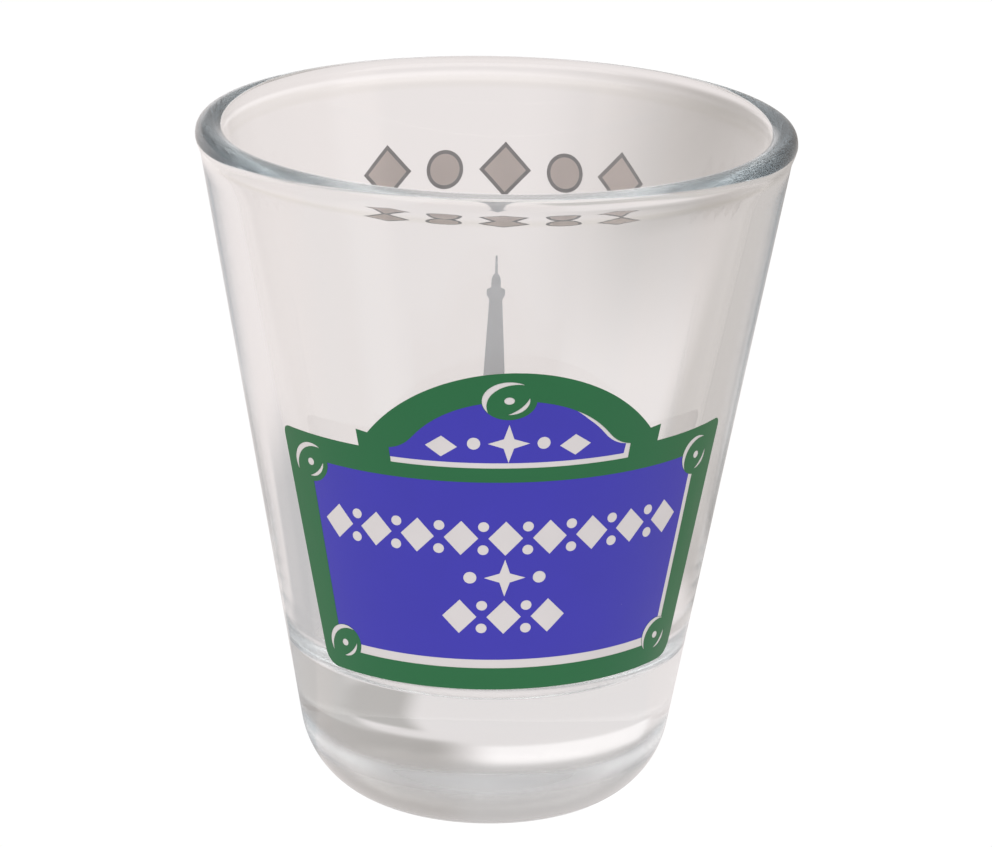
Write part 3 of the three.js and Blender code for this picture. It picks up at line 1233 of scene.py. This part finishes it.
@dataclass(frozen=True)
class Tone:
    """A broad patch of light or shade in the room round the glass. Angles in degrees.

    Attributes:
        colour: Its colour, linear.
        azimuth: Its middle, clockwise from straight behind the glass.
        spread: How far it reaches to each side of its middle.
        low: Its lower edge above the horizon.
        high: Its upper edge above the horizon.
        edge: Width of its soft edges.
    """

    colour: Triple
    azimuth: float
    spread: float
    low: float
    high: float
    edge: float

    def mask(self, group: NodeTree, heading: NodeSocket, height: NodeSocket) -> NodeSocket:
        """Adds the nodes for the share of this tone in a direction.

        Args:
            group: The node group to add to.
            heading: Horizontal unit vector of the direction.
            height: Sine of its elevation.

        Returns:
            The share, from 0 to 1.
        """
        turn = math.radians(self.azimuth)
        along = vector_maths(group, "DOT_PRODUCT", heading, (math.sin(turn), math.cos(turn), 0))
        edges = (
            (along.outputs["Value"], math.cos, min(self.spread + self.edge, WIDEST), self.spread),
            (height, math.sin, self.low - self.edge, self.low),
            (height, math.sin, self.high + self.edge, self.high),
        )
        sides, floor, roof = (
            smooth_step(group, value, part(math.radians(outer)), part(math.radians(inner)))
            for value, part, outer, inner in edges
        )
        return maths(group, "MULTIPLY", maths(group, "MULTIPLY", sides, floor), roof)


WIDEST = 179
ROOM_LIGHT = (0.87, 0.82, 0.81)
ROOM_TONES = (
    Tone((0.60, 0.575, 0.565), 0, 179, 16, 52, 10),
    Tone((0.53, 0.51, 0.50), 0, 84, 14, 56, 10),
    Tone((0.70, 0.75, 0.78), 180, 80, -45, -2, 10),
    Tone((1.70, 1.66, 1.63), 0, 75, 60, 89, 10),
    Tone((0.42, 0.46, 0.50), 180, 42, -10, 12, 10),
    Tone((2.05, 2.0, 1.96), 180, 62, 32, 58, 12),
    Tone((0.47, 0.44, 0.42), 60, 44, -6, 22, 10),
    Tone((0.52, 0.49, 0.47), 56, 40, -30, -24, 4),
    Tone((0.60, 0.57, 0.55), 64, 32, -24, -8, 8),
    Tone((0.56, 0.55, 0.555), -58, 18, -75, -25, 6),
    Tone((1.12, 1.07, 1.06), -19, 21, 1, 8, 7),
)


def room_group() -> NodeTree:
    """Builds the room's light as a colour for each direction from the glass.

    Returns:
        The node group, from a direction to a colour.
    """
    group, inlet, outlet = new_group("room_light", {"Direction": "Vector"}, {"Colour": "Color"})
    unit = vector_maths(group, "NORMALIZE", inlet.outputs["Direction"]).outputs[0]
    split = new_node(group, "ShaderNodeSeparateXYZ")
    link(group, unit, split.inputs[0])
    level = vector_maths(group, "MULTIPLY", unit, LEVEL).outputs[0]
    heading = vector_maths(group, "NORMALIZE", level).outputs[0]
    colour = None
    for tone in ROOM_TONES:
        mix = new_node(group, "ShaderNodeMix", data_type="RGBA")
        rgba(mix, "A").default_value = (*ROOM_LIGHT, 1)
        rgba(mix, "B").default_value = (*tone.colour, 1)
        if colour:
            link(group, colour, rgba(mix, "A"))
        link(group, tone.mask(group, heading, split.outputs["Z"]), mix.inputs["Factor"])
        colour = rgba_out(mix)
    link(group, colour, outlet.inputs["Colour"])
    return group


@dataclass
class Studio:
    """Floor, sky, lights and camera. Lengths in metres, angles in degrees."""

    target: Vector = field(default_factory=lambda: Vector((0.00047, 0, 0.03303)))
    distance: float = 0.38
    elevation: float = 17.81
    azimuth: float = -5.3
    roll: float = 1.23
    lens: float = 158.6
    floor_half: float = 1.5
    floor_gap: float = 0.00005
    floor_white: float = 1.02
    glass_middle: float = 0.03
    glass_bounces: int = 96
    diffuse_bounces: int = 4

    def camera(self) -> None:
        """A long lens looking a little down on the front of the glass."""
        turn = Matrix.Rotation(math.radians(self.azimuth), 3, "Z")
        tilt = math.radians(self.elevation)
        back = turn @ Vector((0, -math.cos(tilt), math.sin(tilt)))
        data = bpy.data.cameras.new("camera")
        data.lens = self.lens
        data.clip_start = 0.01
        data.dof.use_dof = False
        made = add_object("camera", data)
        look = back.to_track_quat("Z", "Y").to_matrix()
        look = look @ Matrix.Rotation(math.radians(self.roll), 3, "Z")
        place = Matrix.Translation(turn @ self.target + back * self.distance)
        made.matrix_world = place @ look.to_4x4()
        bpy.context.scene.camera = made

    def floor(self, room: NodeTree) -> None:
        """A wide pale floor: plain white where it is seen, the room's own light for the glass.

        Args:
            room: The room's light.
        """
        mesh = bmesh.new()
        bmesh.ops.create_grid(mesh, x_segments=1, y_segments=1, size=self.floor_half)
        bmesh.ops.translate(mesh, verts=mesh.verts, vec=(0, 0, -self.floor_gap))
        made = mesh_object(mesh, "floor")
        made.data.materials.append(self._floor_material(room))

    def _floor_material(self, room: NodeTree) -> Material:
        """A white sheet to the eye, which lights the glass as the room does from below.

        Args:
            room: The room's light.

        Returns:
            The material.
        """
        made = bpy.data.materials.new("pale_floor")
        made.use_nodes = True
        tree = made.node_tree
        tree.nodes.clear()
        path = new_node(tree, "ShaderNodeLightPath")
        seen = new_node(tree, "ShaderNodeEmission", Color=(1, 1, 1, 1), Strength=self.floor_white)
        soft = new_node(tree, "ShaderNodeEmission", Strength=1.0)
        place = new_node(tree, "ShaderNodeTexCoord")
        middle = (0, 0, self.glass_middle)
        below = vector_maths(tree, "SUBTRACT", place.outputs["Object"], middle)
        light = new_node(tree, "ShaderNodeGroup", node_tree=room)
        link(tree, below.outputs[0], light.inputs["Direction"])
        link(tree, light.outputs["Colour"], soft.inputs["Color"])
        mix = new_node(tree, "ShaderNodeMixShader")
        out = new_node(tree, "ShaderNodeOutputMaterial")
        link(tree, path.outputs["Is Camera Ray"], mix.inputs["Fac"])
        link(tree, soft.outputs[0], mix.inputs[1])
        link(tree, seen.outputs[0], mix.inputs[2])
        link(tree, mix.outputs[0], out.inputs["Surface"])
        return made

    @staticmethod
    def sky(room: NodeTree) -> None:
        """Puts the room's light on the world.

        Args:
            room: The room's light.
        """
        world = bpy.data.worlds.new("soft_room")
        bpy.context.scene.world = world
        world.use_nodes = True
        tree = world.node_tree
        place = new_node(tree, "ShaderNodeTexCoord")
        light = new_node(tree, "ShaderNodeGroup", node_tree=room)
        link(tree, place.outputs["Generated"], light.inputs["Direction"])
        link(tree, light.outputs["Colour"], tree.nodes["Background"].inputs["Color"])

    @staticmethod
    def softbox(name: str, place: Vector, size: float, power: float, aim: Vector) -> None:
        """Adds one square area light.

        Args:
            name: Name of the light.
            place: Where it hangs.
            size: Length of its sides.
            power: Its power in watts.
            aim: The point it faces.
        """
        data = bpy.data.lights.new(name, "AREA")
        data.shape = "SQUARE"
        data.size = size
        data.energy = power
        made = add_object(name, data)
        turn = (place - aim).to_track_quat("Z", "Y").to_matrix().to_4x4()
        made.matrix_world = Matrix.Translation(place) @ turn
        made.visible_glossy = False
        made.visible_transmission = False

    def build(self) -> None:
        """Sets up everything around the glass."""
        scene = bpy.context.scene
        scene.view_settings.view_transform = "Standard"
        scene.cycles.max_bounces = self.glass_bounces
        scene.cycles.transmission_bounces = self.glass_bounces
        scene.cycles.glossy_bounces = self.glass_bounces
        scene.cycles.diffuse_bounces = self.diffuse_bounces
        self.camera()
        room = room_group()
        self.floor(room)
        self.sky(room)
        key, fill = Vector((-0.5, -0.5, 0.7)), Vector((0.6, -0.4, 0.5))
        self.softbox("key_light", key, size=0.35, power=4.0, aim=self.target)
        self.softbox("fill_light", fill, size=0.4, power=2.0, aim=self.target)


def main() -> None:
    """Builds the glass and its prints, dresses them and sets up the studio."""
    logging.basicConfig(level=logging.INFO, format="%(name)s: %(message)s")
    Studio().build()
    enamel, surface = enamel_group(), glass_group()
    white, grey = (0.63, 0.58, 0.57), (0.5, 0.5, 0.5)
    inks = (
        Enamel("white_enamel", white, white, pinholes=0.0),
        Enamel("blue_enamel", (0.035, 0.025, 0.360), white),
        Enamel("green_enamel", (0.008, 0.115, 0.032), white),
        Enamel("slate_enamel", (0.88, 0.91, 0.95), grey, cover=0.6),
        Enamel("taupe_enamel", (0.91, 0.80, 0.755), grey),
        Enamel("umber_enamel", (0.43, 0.40, 0.40), grey),
    )
    materials = {ink.name: ink.material(enamel) for ink in inks}

    glass = GlassBody()
    hand_over(glass.build(), "glass_body", ClearGlass().material(surface))
    press = PrintPress(glass)
    slots = {
        "plaque_white_ground": "white_enamel",
        "plaque_blue_field": "blue_enamel",
        "plaque_blue_arch": "blue_enamel",
        "plaque_green_border": "green_enamel",
    }
    for node, piece in Plaque(press).build().items():
        hand_over(piece, node, materials[slots[node]])
    back = BackPrints(press)
    hand_over(back.tower(), "tower_print", materials["slate_enamel"])
    for index in range(back.frieze_count):
        for node, piece in back.frieze(index).items():
            slot = "umber_enamel" if "rim" in node else "taupe_enamel"
            hand_over(piece, node, materials[slot])


if __name__ == "__main__":
    main()
